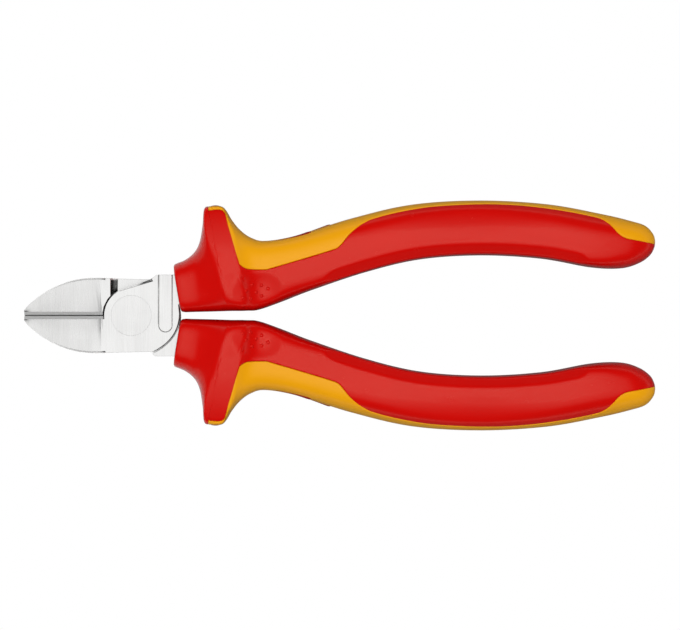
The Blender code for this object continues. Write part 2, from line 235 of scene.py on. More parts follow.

# %% [markdown]
# ## Red grip plastic
# The hard shell is an injection-moulded insulating plastic. A mould of this kind is
# spark-eroded, which leaves an even grain too fine to see except in how it softens a
# highlight. So the colour only drifts a little over the length of a hand, the roughness
# varies with it, and a very fine noise makes the grain. Where a surface turns away from
# the camera, as at the yellow edges, a lighter colour can be painted in as sheen.


# %% Red plastic
DRIFT_SCALE, GRAIN_SCALE, RUB_SCALE = 70, 5200, 300
RED_GRAIN, SOFT_GRAIN = 0.000006, 0.00001  # how deep the grain is, in metres
PLASTIC_IOR = 1.42
WARM_GLOSS = (1.0, 0.9, 0.72, 1.0)


def moulded(name, deep, bright, roughness, grain_depth, painted_sheen=None):
    """An injection-moulded plastic, with an optional painted sheen for edges that turn away."""
    finish = Finish(name)
    drift = finish.noise(DRIFT_SCALE, 3)
    grain = finish.noise(GRAIN_SCALE, 2)
    rubbed = finish.step(finish.noise(RUB_SCALE, 4), 0.45, 0.75)
    finish.relief(grain, grain_depth, 0.5)
    color = finish.tint(drift, deep, bright)
    if painted_sheen:
        # painted sheen: the colour turns lighter where the surface faces away from the camera
        facing = finish.node("ShaderNodeLayerWeight", {}, 0.5, output="Facing")
        color = finish.tint(finish.step(facing, 0.3, 0.85), color, painted_sheen)
    return finish.set(
        Base_Color=color,
        Roughness=roughness + 0.05 * rubbed + 0.05 * grain,
        IOR=PLASTIC_IOR,
        Specular_Tint=WARM_GLOSS,
    )


RED = moulded(
    "red_grip_plastic",
    (0.60, 0.0018, 0.001),
    (0.67, 0.0028, 0.0014),
    0.2,
    RED_GRAIN,
)
INLAY = moulded(
    "red_inlay_plastic",
    (0.30, 0.004, 0.004),
    (0.36, 0.007, 0.006),
    0.3,
    RED_GRAIN,
)
print(RED.name, INLAY.name)

# %% [markdown]
# ## Yellow soft zone
# The softer component feels like firm rubber: less shine, a slightly coarser grain, and a
# faint mottling where it has been handled.

# %% Yellow elastomer
YELLOW = moulded(
    "yellow_soft_zone",
    (0.84, 0.355, 0.0015),
    (0.92, 0.405, 0.004),
    0.3,
    SOFT_GRAIN,
    # colour of the painted sheen at edges that turn away
    (1.0, 0.47, 0.002),
)
SLEEVE = moulded(
    "inner_sleeve_plastic",
    (0.70, 0.42, 0.02),
    (0.78, 0.50, 0.03),
    0.45,
    SOFT_GRAIN,
)
print(YELLOW.name, SLEEVE.name)

# %% [markdown]
# ## Polished steel
# The head is forged, ground on its faces and thinly chromed. Grinding leaves short fine
# lines across the tool, so the noise is stretched along Y, once finely for the lines and
# once coarsely for bands that took the wheel a little differently. The lines change both
# the roughness and the normal, as real scratches do. Three places differ: the cutting
# bevels are bare, duller steel, the walls inside the lap joint get near-black painted
# shade, and the chamfer beside the joint plate gets a painted dark reflection. Each is a
# mask made from where a point is and which way the face there looks.


# %% Places with another finish
BEVEL_WIDTH = 0.82  # from the middle of the tool to the outside of a cutting bevel
BARE_STEEL = (0.66, 0.66, 0.655)
# near-black painted shade for the walls inside the lap joint
PAINTED_GAP_SHADE = (0.03, 0.03, 0.03)
# dark grey painted reflection for the chamfer beside the joint plate
PAINTED_CHAMFER_REFLECTION = (0.17, 0.17, 0.17)
DULL_SHARE = 0.9  # how bright the plating is where grinding left it dull
SCRATCH_DEPTH = 0.00002


def beyond(finish, value, low, high):
    """0 below low, 1 above high, both in millimetres."""
    return finish.step(value, low * MM, high * MM)


def bare_mask(finish, x, y):
    """The cutting bevels, beside the middle of the tool and ahead of the joint."""
    beside = 1 - beyond(finish, y.size(), BEVEL_WIDTH - 0.05, BEVEL_WIDTH + 0.01)
    return beside * (1 - beyond(finish, x - PIVOT.x, -6.28, -6.2))


def gap_shade_mask(finish, x, y, z, upright):
    """Walls inside the lap joint, below the joint's face, where shade is painted."""
    wall = 1 - finish.step(upright, 0.35, 0.6)
    inside = beyond(finish, x - PIVOT.x, -7.0, -6.6)
    inside = inside * (1 - beyond(finish, y.size(), 7.7, 8.0))
    return wall * inside * (1 - beyond(finish, z.size(), 3.75, 4.0))


def chamfer_reflection_mask(finish, x, y, upright):
    """The chamfer beside the joint plate, where a dark reflection is painted: faces that look
    up, but not straight up.
    """
    sloped = finish.step(upright, 0.66, 0.72) * (1 - finish.step(upright, 0.93, 0.96))
    edge = beyond(finish, x - PIVOT.x, -3.6, -3.2)
    edge = edge * (1 - beyond(finish, x - PIVOT.x, 4.6, 5.0))
    return sloped * edge * beyond(finish, y.size(), 4.6, 5.0)


print("masks for bevels, walls and chamfer ready")


# %% Ground steel
def ground_steel(name, shade, roughness, line_depth):
    """Ground and plated steel: bare bevels, painted shade in the lap joint, a painted dark
    reflection on the chamfer.
    """
    finish = Finish(name)
    fine = finish.noise(1.0, 4, finish.stretched(7000, 260, 900), 0.65)
    lines = finish.noise(1.0, 3, finish.stretched(2600, 90, 300), 0.6)
    bands = finish.noise(1.0, 2, finish.stretched(420, 60, 60))
    smudge = finish.noise(150, 4)
    finish.relief(0.5 * fine + 0.5 * lines, line_depth, 0.6)
    dull = tuple(DULL_SHARE * c for c in shade)
    plated = finish.tint(finish.step(0.5 * lines + 0.5 * smudge, 0.3, 0.62), dull, shade)
    x, y, z = finish.split(finish.place)
    upright = finish.split(finish.node("ShaderNodeTexCoord", {}, output="Normal"))[2].size()
    bare = bare_mask(finish, x, y)
    color = finish.tint(bare, plated, BARE_STEEL)
    # painted dark reflection on the chamfer beside the joint plate
    color = finish.tint(chamfer_reflection_mask(finish, x, y, upright), color, PAINTED_CHAMFER_REFLECTION)
    # painted shade: the lap joint's walls turn near black
    gap_shade = gap_shade_mask(finish, x, y, z - PIVOT.z, upright)
    return finish.set(
        Base_Color=finish.tint(gap_shade, color, PAINTED_GAP_SHADE),
        Roughness=roughness + 0.08 * lines + 0.08 * bands + 0.06 * smudge + 0.2 * bare,
        Metallic=1 - 0.6 * bare,
    )


STEEL = ground_steel("chromed_steel", (0.98, 0.977, 0.968), 0.16, SCRATCH_DEPTH)
RIVET = ground_steel("rivet_steel", (0.97, 0.967, 0.958), 0.17, SCRATCH_DEPTH)
print(STEEL.name, RIVET.name)

# %% [markdown]
# ## Table
# The tool lies on a white light table. To the camera the table is plain white, but a real
# one would flood the sides of the tool with light. So to every other ray it is grey card,
# which glossy things mirror painted darker still, with a painted pool of light under the head
# that the steel can mirror.

# %% Table
TABLE_GAP = 0.05  # so that the tool's lowest faces don't lie in the table's own

sheet = bmesh.new()
bmesh.ops.create_grid(sheet, x_segments=8, y_segments=8, size=1.5)
table_mesh = bpy.data.meshes.new("table_top")
sheet.to_mesh(table_mesh)
sheet.free()
table = bpy.data.objects.new("table_top", table_mesh)
table.location.z = -TABLE_GAP * MM
bpy.context.scene.collection.objects.link(table)
print("table", len(table_mesh.polygons), "faces")

# %% Table card
# x values between which the painted pool of light under the head fades out
HEAD_END_X, HANDLE_START_X = -0.040, -0.026  # the bright part fades out between these

card = Finish("white_table")
painted_light_under_head = 1 - card.step(card.split(card.place)[0], HEAD_END_X, HANDLE_START_X)
card_color = card.tint(card.noise(30, 3), (0.30, 0.30, 0.30), (0.33, 0.33, 0.33))
mirrored = card.node("ShaderNodeLightPath", {}, output="Is Glossy Ray")
# painted darker reflection: glossy things mirror the card darker than it is
card_color = card.tint(mirrored, card_color, (0.16, 0.16, 0.16))
card_color = card.tint(painted_light_under_head, card_color, (0.85, 0.85, 0.85))
table_mesh.materials.append(card.set(Base_Color=card_color, Roughness=0.9))
seen = card.node("ShaderNodeLightPath", {}, output="Is Camera Ray")
glow = card.node("ShaderNodeEmission", {}, (1, 1, 1, 1), 1.0)
lit = Wire(card, card.shader.outputs[0])
surface = card.node("ShaderNodeMixShader", {}, seen, lit, glow)
card.plug(card.tree.nodes["Material Output"].inputs[0], surface)
print(card.material.name)

# %% [markdown]
# ## Room and lamp
# Glossy things show their form by what they mirror. Straight overhead the room is as
# bright as a soft box with a clear edge, and flat tops mirror that and look lighter. The
# walls are dim, so slopes look deeper, and low down a second bright band lights the
# steepest edges of the steel. The room is a ramp of grey over height, because one ramp
# is easier to tune than many panels. One soft lamp adds a little direct light.

# %% Room
SKY_STOPS = (
    (0.0, 0.80),
    (0.15, 0.70),
    (0.25, 0.07),
    (0.45, 0.05),
    (0.74, 0.06),
    (0.80, 0.26),
    (0.86, 0.68),
    (0.92, 0.90),
    (0.965, 1.0),
    (0.995, 0.93),
)
sky = bpy.data.worlds.new("studio_room")
bpy.context.scene.world = sky
sky.use_nodes = True
room = Graph(sky.node_tree)
height = room.split(room.node("ShaderNodeTexCoord", {}, output="Generated"))[2]
brightness = room.node("ShaderNodeValToRGB", {"stops": SKY_STOPS}, height)
background = room.tree.nodes["Background"]
room.plug(background.inputs["Color"], brightness)
room.plug(background.inputs["Strength"], 1.0)
print("sky stops", len(SKY_STOPS))

# %% Lamp
LAMP_PLACE = Vector((0.0, 0.05, 1.1))

light = bpy.data.lights.new("soft_top", "AREA")
light.shape = "DISK"
light.size = 0.7
light.energy = 8.5
lamp = bpy.data.objects.new("soft_top", light)
lamp.location = LAMP_PLACE
lamp.rotation_euler = (-LAMP_PLACE).to_track_quat("-Z", "Y").to_euler()
lamp.visible_glossy = False
lamp.visible_camera = False
bpy.context.scene.collection.objects.link(lamp)
print("lamp", light.energy, "W")

# %% [markdown]
# ## The grip's form
# A handle like this is described best by its sections. Each one is a straight line from
# the inner edge of the handle to its outer edge, with a half thickness and a squareness
# for each side, and the sections fan round the guard. These are the sections of the
# engineering model; here they are read ten times more finely.

# %% Sections of the grip
GRIP_LAND = 9.5  # half thickness across the flat crest of the guard
GRIP = [
    (10.98, 0.67, 9.2, 11.4, 6.2, 4.4, 3.2),
    (13.0, 0.75, 11.7, 12.3, 6.45, 4.4, 3.2),
    (15.0, 0.8, 13.9, 14.1, 6.85, 4.4, 3.4),
    (17.2, 0.85, 15.1, 16.5, 7.6, 4.4, 3.8),
    (19.0, 0.9, 15.75, 20.2, 8.4, 4.6, 4.2),
    (20.4, 0.95, 16.1, 23.6, 9.1, 5.0, 4.6),
    (22.0, 1.0, 17.4, 24.15, 10.0, 5.0, 4.6),
    (23.9, 1.0, 19.8, 24.15, 10.2, 5.0, 4.6),
    (25.6, 1.05, 20.8, 23.3, 10.0, 4.8, 4.4),
    (27.2, 1.1, 22.0, 21.3, 8.9, 4.4, 3.8),
    (29.0, 1.55, 23.9, 19.0, 8.0, 4.4, 3.6),
    (31.0, 2.25, 26.4, 17.25, 7.55, 4.4, 3.4),
    (33.8, 3.3, 29.6, 16.55, 7.4, 4.4, 3.4),
    (40.0, 5.7, 36.5, 17.75, 7.6, 4.4, 3.3),
    (52.0, 9.7, 48.5, 21.5, 8.0, 4.4, 2.7),
    (64.0, 12.5, 62.0, 24.6, 8.2, 4.4, 2.35),
    (77.5, 13.4, 77.0, 25.52, 8.2, 4.4, 2.3),
    (91.0, 12.65, 92.0, 24.7, 7.9, 4.4, 2.3),
    (102.0, 10.7, 104.3, 22.5, 7.3, 4.0, 2.3),
    (108.5, 10.45, 110.8, 20.95, 6.4, 3.2, 2.3),
    (112.5, 11.6, 113.9, 19.9, 5.0, 2.7, 2.3),
    (114.9, 13.3, 115.6, 18.1, 3.3, 2.3, 2.3),
    (115.86, 15.0, 116.05, 16.6, 1.4, 2.2, 2.2),
    (115.95, 15.7, 116.05, 15.95, 0.25, 2.2, 2.2),
]
print(len(GRIP), "sections")

# %% Seam between the plastics
SEAM = [
    (16.75, 23.05),
    (20.35, 23.05),
    (21.6, 19.4),
    (23.0, 14.9),
    (23.7, 12.0),
    (24.3, 11.0),
    (25.4, 10.3),
    (26.6, 10.1),
    (29.6, 10.05),
    (31.0, 10.35),
    (43.6, 14.1),
    (45.9, 15.1),
    (47.4, 16.9),
    (48.4, 18.1),
    (49.95, 19.5),
    (51.5, 20.5),
    (53.5, 21.4),
    (58.9, 22.8),
    (66.5, 24.05),
    (77.2, 24.6),
    (86.1, 24.3),
    (95.0, 23.2),
    (102.2, 21.8),
    (104.6, 20.85),
    (106.3, 19.3),
    (107.3, 18.1),
    (109.0, 17.0),
    (112.2, 16.4),
    (116.6, 15.6),
]
print(len(SEAM), "points along the seam")

# %% [markdown]
# ## Reading between the sections
# A cubic curve through the sections gives as many rows in between as are wanted, so the
# few sections above make a smooth handle. Where a section crosses the line of the seam
# tells how far round the red goes, and so where the yellow starts.

# %% Fine rows and seam crossings
ROW_STEP = 0.5
SOFT_START_X = 16.85  # where the yellow zone begins on the guard's tip


def cubic(rows, u):
    """Rows of numbers read at a fractional index, from a cubic through them."""
    i = min(int(u), len(rows) - 2)
    t = u - i
    near = [rows[max(0, min(len(rows) - 1, i + k))] for k in (-1, 0, 1, 2)]
    found = []
    for a, b, c, d in zip(*near):
        curve = (2 * a - 5 * b + 4 * c - d) * t**2 + (3 * b - a - 3 * c + d) * t**3
        found.append(0.5 * (2 * b + (c - a) * t + curve))
    return found


def fine_positions():
    """Fractional indices of the sections, about ROW_STEP apart along the handle."""
    found = []
    for i, (near, far) in enumerate(zip(GRIP, GRIP[1:])):
        inner = math.dist(near[0:2], far[0:2])
        outer = math.dist(near[2:4], far[2:4])
        steps = max(2, math.ceil(max(inner, outer) / ROW_STEP))
        found += [i + k / steps for k in range(steps)]
    return found + [len(GRIP) - 1.0]


seam_line = []
for i in range(len(SEAM) - 1):
    seam_line += [cubic(SEAM, i + k / 6) for k in range(6)]
seam_line.append(list(SEAM[-1]))


def seam_crossing(section):
    """How far out along a section the seam crosses it, from -1 inner to 1 outer, or None."""
    inner = Vector(section[0:2])
    run = Vector(section[2:4]) - inner
    best = None
    for a, b in zip(seam_line, seam_line[1:]):
        a, edge = Vector(a), Vector(b) - Vector(a)
        spread = run.cross(edge)
        if abs(spread) < 1e-9:
            continue
        t = (a - inner).cross(edge) / spread
        s = (a - inner).cross(run) / spread
        if 0 <= s <= 1 and 0 < t < 1 and (best is None or t > best):
            best = t
    return None if best is None else 2 * best - 1


positions = fine_positions()
soft_start = next(u for u in positions if u > 5 and cubic(GRIP, u)[2] > SOFT_START_X)
print(len(positions), "sections, the soft zone starts at", round(soft_start, 2))

# %% [markdown]
# ## Wrapping a grid round the sections
# A flat grid has just the faces a moulded shell needs: rows along the handle, columns
# round it. Each row is laid on its section, spaced evenly by length, so the facets stay
# square. The red body and the soft zone share the seam exactly, and both roll over into
# it, which leaves the fine line that is seen where two plastics meet.

# %% Outline of a section
LAND_SOFTNESS = 0.22
LAND_BOW, LAND_FROM_Y = 0.013, 8.8  # the guard's crest bows down toward its tip
FLAT_SQUARE = 6.0  # the handle's top is flat on its inner side, up to a facet
FLAT_IN, FLAT_OUT = (34, 46), (98, 108)  # where that flat begins and ends
FACET_FROM, FACET_FALL, FACET_SOFTNESS = 0.6, 0.74, 0.05
ROLL = 0.22  # radius with which a piece rolls over into the seam
ROLL_STEPS = (0.0, 0.03, 0.08, 0.15, 0.22)
WALL_COLUMNS = 6
DENSE = 180  # points that an arc is measured with before it is spaced evenly


def soft_least(a, b, softness):
    """The smaller of two heights, rounded where they cross."""
    return min(a, b) - softness * math.log1p(math.exp(-abs(a - b) / softness))


def fade(x, low, high):
    """0 below low, 1 above high, smooth between."""
    t = max(0.0, min(1.0, (x - low) / (high - low)))
    return t * t * (3 - 2 * t)


def flatness(section):
    """1 where the handle's top is flat on its inner side, 0 elsewhere."""
    return fade(section[0], *FLAT_IN) * (1 - fade(section[0], *FLAT_OUT))


def squareness(section, outer):
    """The exponent that shapes one side of a section: 2 is an ellipse, more is squarer."""
    if outer:
        return section[6]
    return section[5] + (FLAT_SQUARE - section[5]) * flatness(section)


def outline_spot(section, angle, grow):
    """A point of a section's outline as (distance from its middle outward, height)."""
    reach = math.dist(section[0:2], section[2:4]) / 2 + grow
    half = section[4] + grow
    c, s = math.cos(angle), math.sin(angle)
    flat = flatness(section)
    square = squareness(section, c > 0)
    share = math.copysign(abs(c) ** (2 / square), c)
    up = abs(s) ** (2 / square) * half
    if c < 0 and flat > 0.01:
        facet = 0.99 * half - FACET_FALL * flat * (-share - FACET_FROM) * reach
        up = soft_least(up, facet + 3.0 * (1 - flat), FACET_SOFTNESS)
        up = max(up, 0.0) if abs(s) > 1e-6 else 0.0
    y = section[1] + (section[3] - section[1]) * (share + 1) / 2
    land = GRIP_LAND + grow - LAND_BOW * max(0.0, y - LAND_FROM_Y) ** 2
    if up > land - 1.5:
        up = soft_least(up, land, LAND_SOFTNESS)
    return Vector((share * reach, math.copysign(up, s)))


BELLY = GRIP[16]
belly_top = outline_spot(BELLY, math.pi / 2, 0.0).y
print("half thickness of the belly", round(belly_top, 2), "mm")


# %% Even spacing round a section
def even_arc(section, start, end, columns, grow, rolled):
    """Evenly spaced points of the outline between two angles, rolled over at both ends."""
    angles = [start + (end - start) * k / DENSE for k in range(DENSE + 1)]
    dense = [outline_spot(section, angle, grow) for angle in angles]
    lengths = [0.0]
    for a, b in zip(dense, dense[1:]):
        lengths.append(lengths[-1] + (b - a).length)
    total = lengths[-1]
    if rolled and total > 4 * ROLL:
        middle = columns - 2 * len(ROLL_STEPS)
        inside = [
            ROLL + (total - 2 * ROLL) * (k + 1) / (middle + 1) for k in range(middle)
        ]
        wanted = [*ROLL_STEPS, *inside, *[total - d for d in reversed(ROLL_STEPS)]]
    else:
        wanted = [total * k / (columns - 1) for k in range(columns)]
    spots = []
    i = 0
    for want in wanted:
        while i < DENSE - 1 and lengths[i + 1] < want:
            i += 1
        span = max(lengths[i + 1] - lengths[i], 1e-9)
        spot = dense[i].lerp(dense[i + 1], (want - lengths[i]) / span)
        edge = min(want, total - want)
        if rolled and edge < ROLL:
            along = (dense[i + 1] - dense[i]).normalized()
            drop = ROLL - math.sqrt(max(0.0, ROLL**2 - (ROLL - edge) ** 2))
            spot += Vector((-along.y, along.x)) * drop
        spots.append(spot)
    return spots


print("arc of the belly has", len(even_arc(BELLY, -1.0, 1.0, 48, 0.0, True)), "points")


# %% Closed rings
def in_space(section, spot, back=0.0):
    """A section's flat point as a point about the pivot, moved back along the handle."""
    inner, outer = Vector((*section[0:2], 0)), Vector((*section[2:4], 0))
    out = (outer - inner).normalized()
    along = Vector((out.y, -out.x, 0))
    return (inner + outer) / 2 + out * spot.x + along * back + Vector((0, 0, spot.y))


def closed_ring(section, crossing, columns, soft, grow=0.0, back=0.0):
    """One closed row: the outline's arc on one side of the seam, then the wall at the seam."""
    if crossing is None:
        edge = 0.0
    else:
        square = squareness(section, crossing > 0)
        edge = math.acos(math.copysign(abs(crossing) ** (square / 2), crossing))
    rolled = crossing is not None
    if soft:
        arc = even_arc(section, -edge, edge, columns, grow, rolled)
    else:
        arc = even_arc(section, edge, 2 * math.pi - edge, columns, grow, rolled)
    wall = [arc[-1].lerp(arc[0], k / (WALL_COLUMNS + 1)) for k in range(1, WALL_COLUMNS + 1)]
    return [in_space(section, spot, back) for spot in [*arc, *wall, arc[0]]]


print("ring of the belly has", len(closed_ring(BELLY, 0.8, 60, False)), "points")


# %% Grid on the rings
def wrap(rings):
    """A grid laid on the rings, with the joining column merged and the ends closed."""
    rows, columns = len(rings), len(rings[0])
    bm = bmesh.new()
    bmesh.ops.create_grid(bm, x_segments=rows - 1, y_segments=columns - 1, size=1.0)
    for vert in bm.verts:
        row = round((vert.co.x + 1) / 2 * (rows - 1))
        column = round((vert.co.y + 1) / 2 * (columns - 1))
        vert.co = rings[row][column]
    bmesh.ops.remove_doubles(bm, verts=bm.verts, dist=1e-4)
    rims = [edge for edge in bm.edges if edge.is_boundary]
    bmesh.ops.holes_fill(bm, edges=rims, sides=0)
    bmesh.ops.recalc_face_normals(bm, faces=bm.faces)
    return bm


print("rings can be wrapped")

# %% [markdown]
# ## Delivering a piece
# Both halves of the tool are the same part, one turned half a turn about the long axis.
# So every piece is made once about the pivot and delivered twice.


# %% Deliver
SMOOTH_BELOW = math.radians(40)  # edges that turn further than this stay sharp


def deliver(bm, name, finish, nodes=()):
    """The same mesh for the front and the rear half, each riding on its body."""
    for side, body in HALVES.items():
        turned = bm.copy()
        bmesh.ops.scale(turned, vec=(MM, MM, MM), verts=turned.verts)
        if side == "rear":
            half_turn = Matrix.Rotation(math.pi, 3, "X")
            bmesh.ops.rotate(turned, cent=(0, 0, 0), matrix=half_turn, verts=turned.verts)
        bmesh.ops.translate(turned, vec=PIVOT, verts=turned.verts)
        mesh = bpy.data.meshes.new(f"{name}_{side}")
        turned.to_mesh(mesh)
        turned.free()
        mesh.shade_smooth()
        mesh.set_sharp_from_angle(angle=SMOOTH_BELOW)
        mesh.materials.append(finish)
        piece = bpy.data.objects.new(f"{name}_{side}", mesh)
        bpy.context.scene.collection.objects.link(piece)
        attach(piece, body)
        if nodes:
            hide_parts(*[node.format(side=side) for node in nodes])
    print(name, sum(len(face.verts) - 2 for face in bm.faces), "triangles")
    bm.free()


# %% [markdown]
# ## The thumb dish
# Behind each guard the red face is hollowed for the thumb, on both sides of the handle.
# A hollow like this could be sculpted; here every point of the face is lowered by a
# smooth bell over an ellipse, which keeps the rows of the grid even.

# %% Thumb dish
DISH_CENTER = Vector((27.7, 5.4))
DISH_REACH = (5.8, 4.1)
DISH_TURN = math.radians(16)
DISH_DEPTH = 1.0
DISH_ABOVE = 4  # only the faces move, not the handle's sides


def dish_drop(x, y):
    """How far the red face is lowered at a point."""
    offset = Vector((x, y)) - DISH_CENTER
    along = offset.x * math.cos(DISH_TURN) + offset.y * math.sin(DISH_TURN)
    across = offset.y * math.cos(DISH_TURN) - offset.x * math.sin(DISH_TURN)
    spread = (along / DISH_REACH[0]) ** 2 + (across / DISH_REACH[1]) ** 2
    return DISH_DEPTH * (1 - spread) ** 1.4 if spread < 1 else 0.0


print("dish depth at its centre", dish_drop(*DISH_CENTER))

# %% [markdown]
# ## Red body
# The body starts inside the collar's mouth, where the steel goes in, turns out over the
# collar's flat front face and its rounded rim, and runs to the handle's end. Up to the
# guard it goes all the way round; from there on it stops at the seam.

# %% Red body
BODY_COLUMNS = 96
COLLAR_MOUTH = (10.72, 2.25, 9.50, 9.60, 4.45, 8.0, 8.0)
RIM_RADIUS = 0.55


def body_rings():
    rings = [
        closed_ring(COLLAR_MOUTH, None, BODY_COLUMNS, False, 0.0, 3.0),
        closed_ring(COLLAR_MOUTH, None, BODY_COLUMNS, False, 0.0, 0.2),
        closed_ring(COLLAR_MOUTH, None, BODY_COLUMNS, False, 0.15, 0.0),
    ]
    front = cubic(GRIP, 0)
    for share in (0.35, 0.7):
        between = [a + (b - a) * share for a, b in zip(COLLAR_MOUTH, front)]
        rings.append(closed_ring(between, None, BODY_COLUMNS, False, -RIM_RADIUS * share))
    for step in range(6):
        angle = math.pi / 2 * step / 5
        inset = RIM_RADIUS * (1 - math.sin(angle))
        forward = RIM_RADIUS * (1 - math.cos(angle))
        rings.append(closed_ring(front, None, BODY_COLUMNS, False, -inset, forward))
    for u in positions:
        section = cubic(GRIP, u)
        if u < 0.5:  # the rounded rim stands here
            continue
        if u >= soft_start:
            if u == soft_start:
                rings.append(closed_ring(section, None, BODY_COLUMNS, False, 0.0, -0.04))
            rings.append(closed_ring(section, seam_crossing(section), BODY_COLUMNS, False))
        else:
            rings.append(closed_ring(section, None, BODY_COLUMNS, False))
    return rings


body = wrap(body_rings())
for vert in body.verts:
    drop = dish_drop(vert.co.x, vert.co.y)
    if drop and abs(vert.co.z) > DISH_ABOVE:
        vert.co.z -= math.copysign(drop, vert.co.z)
body_skin = BVHTree.FromBMesh(body)
deliver(body, "grip_body", RED, ["grip_{side}"])

# %% [markdown]
# ## Soft zone
# The yellow zone is the same form on the other side of the seam: over the guard's tip,
# down the hollow of the guard, along the back of the handle and round its end.

# %% Soft zone
SOFT_COLUMNS = 48
SOFT_INSET = 0.03  # keeps the two walls at the seam apart

soft_rings = []
for u in positions:
    if u < soft_start:
        continue
    section = cubic(GRIP, u)
    crossing = min(seam_crossing(section) + SOFT_INSET / 6, 0.999)
    if u == soft_start:
        for inset, back in ((0.2, 0.0), (0.06, 0.06), (0.0, 0.2)):
            soft_rings.append(
                closed_ring(section, crossing, SOFT_COLUMNS, True, -inset, back)
            )
    else:
        soft_rings.append(closed_ring(section, crossing, SOFT_COLUMNS, True))
soft = wrap(soft_rings)
soft_skin = BVHTree.FromBMesh(soft)
deliver(soft, "grip_soft_zone", YELLOW, ["soft_zone_{side}"])

# %% [markdown]
# ## Thumb bumps
# Small domes in the dish keep the thumb from slipping. Each is a flattened ball set half
# into the face, whose height is found by looking down on the body from above.

# %% Thumb bumps
BUMP_RADIUS = 0.42
BUMP_FLATTENING = 0.5
FAR = 20  # a start well outside the handle
BUMPS = [
    (26.75, 6.78),
    (28.86, 6.64),
    (30.3, 5.89),
    (25.55, 5.36),
    (27.64, 5.11),
    (28.86, 4.33),
    (26.44, 3.67),
    (24.75, 3.8),
]

bumps = bmesh.new()
for x, y in BUMPS:
    for side in (1, -1):
        hit, normal, _, _ = body_skin.ray_cast(Vector((x, y, FAR * side)), (0, 0, -side))
        turn = normal.to_track_quat("Z", "Y").to_matrix().to_4x4()
        shape = Matrix.Diagonal((1, 1, BUMP_FLATTENING, 1))
        bmesh.ops.create_uvsphere(
            bumps,
            u_segments=16,
            v_segments=10,
            radius=BUMP_RADIUS,
            matrix=Matrix.Translation(hit) @ turn @ shape,
        )
deliver(bumps, "thumb_bumps", RED)

# %% [markdown]
# ## Inlays
# Three comet-shaped drops sit in the yellow behind the guard, and a long pill in the
# guard's tip. Each starts as a ball. Its length is laid along the surface, its width
# follows the outline of the inlay, and its top stands a little proud.


# %% Inlays
def rail(x):
    """The handle's outer edge at x, and the direction it runs in."""
    for i in range(len(positions) - 1):
        a, b = cubic(GRIP, positions[i]), cubic(GRIP, positions[i + 1])
        if a[2] <= x <= b[2] and x > 25:
            start, end = Vector((a[2], a[3])), Vector((b[2], b[3]))
            return start.lerp(end, (x - a[2]) / (b[2] - a[2])), (end - start).normalized()
    raise ValueError("no outer edge there")


def inlay(bm, width, length, lay, proud, sunk):
    """A ball stretched to an outline; lay(along, across) gives the surface and its normal."""
    full = width(0.9)  # a thin tail stands out less than a full head
    ball = bmesh.new()
    bmesh.ops.create_uvsphere(ball, u_segments=32, v_segments=28, radius=1.0)
    turn = Matrix.Rotation(math.pi / 2, 3, "Y")
    bmesh.ops.rotate(ball, cent=(0, 0, 0), matrix=turn, verts=ball.verts)
    for vert in ball.verts:
        round_off = max(math.sqrt(max(0.0, 1 - vert.co.x**2)), 1e-6)
        share = (vert.co.x + 1) / 2
        across = width(share) * vert.co.y / round_off
        level = vert.co.z / round_off
        height = (proud if level > 0 else sunk) * level * min(1.0, width(share) / full)
        surface, normal = lay(share * length, across)
        vert.co = surface + normal * height
    bmesh.ops.remove_doubles(ball, verts=ball.verts, dist=1e-4)
    mesh = bpy.data.meshes.new("inlay")
    ball.to_mesh(mesh)
    bm.from_mesh(mesh)
    ball.free()
    bpy.data.meshes.remove(mesh)


print("inlay helpers ready")

# %% Comet drops
DROP_LENGTH = 8.0
DROP_RADIUS = 0.85
DROP_PROUD = 0.22
INLAY_SUNK = 0.5
DROPS = {"center": (43.2, 0.0), "front": (38.8, 3.9), "back": (38.8, -3.9)}  # head x, height


def drop_width(share):
    """Half width of a drop from its tail to its round head."""
    head = 1 - DROP_RADIUS / DROP_LENGTH
    if share > head:
        return DROP_RADIUS * math.sqrt(max(0.0, 1 - ((share - head) / (1 - head)) ** 2))
    return DROP_RADIUS * (0.1 + 0.9 * (share / head) ** 1.4)


def drop_layer(head_x, height):
    """Lays a drop on the soft zone, its head at head_x and its tail toward the guard."""
    spot, along = rail(head_x)
    out = Vector((-along.y, along.x, 0))

    def lay(distance, across):
        back = distance - DROP_LENGTH + DROP_RADIUS
        start = Vector((*(spot + along * back), height + across)) + out * 4
        hit, normal, _, _ = soft_skin.ray_cast(start, -out)
        return hit, normal

    return lay


for label, (head_x, height) in DROPS.items():
    drop = bmesh.new()
    lay = drop_layer(head_x, height)
    inlay(drop, drop_width, DROP_LENGTH, lay, DROP_PROUD, INLAY_SUNK)
    nodes_hidden = ["grip_drop_{side}_" + label]
    deliver(drop, f"comet_drop_{label}", INLAY, nodes_hidden)

# %% Guard pill
PILL_LENGTH = 10.3
PILL_RADIUS = 0.95
PILL_PROUD = 0.12
PILL_X = 18.55  # the middle of the guard's tip face


def pill_width(share):
    """Half width of a bar with round ends."""
    edge = min(share, 1 - share) * PILL_LENGTH
    if edge < PILL_RADIUS:
        return PILL_RADIUS * math.sqrt(max(0.0, 1 - (1 - edge / PILL_RADIUS) ** 2))
    return PILL_RADIUS


def pill_layer(distance, across):
    """Lays the pill on the guard's tip, along the tool's thickness."""
    start = Vector((PILL_X + across, 30, distance - PILL_LENGTH / 2))
    hit, normal, _, _ = soft_skin.ray_cast(start, (0, -1, 0))
    return hit, normal


pill = bmesh.new()
inlay(pill, pill_width, PILL_LENGTH, pill_layer, PILL_PROUD, INLAY_SUNK)
deliver(pill, "guard_pill", INLAY, ["guard_inlay_{side}"])

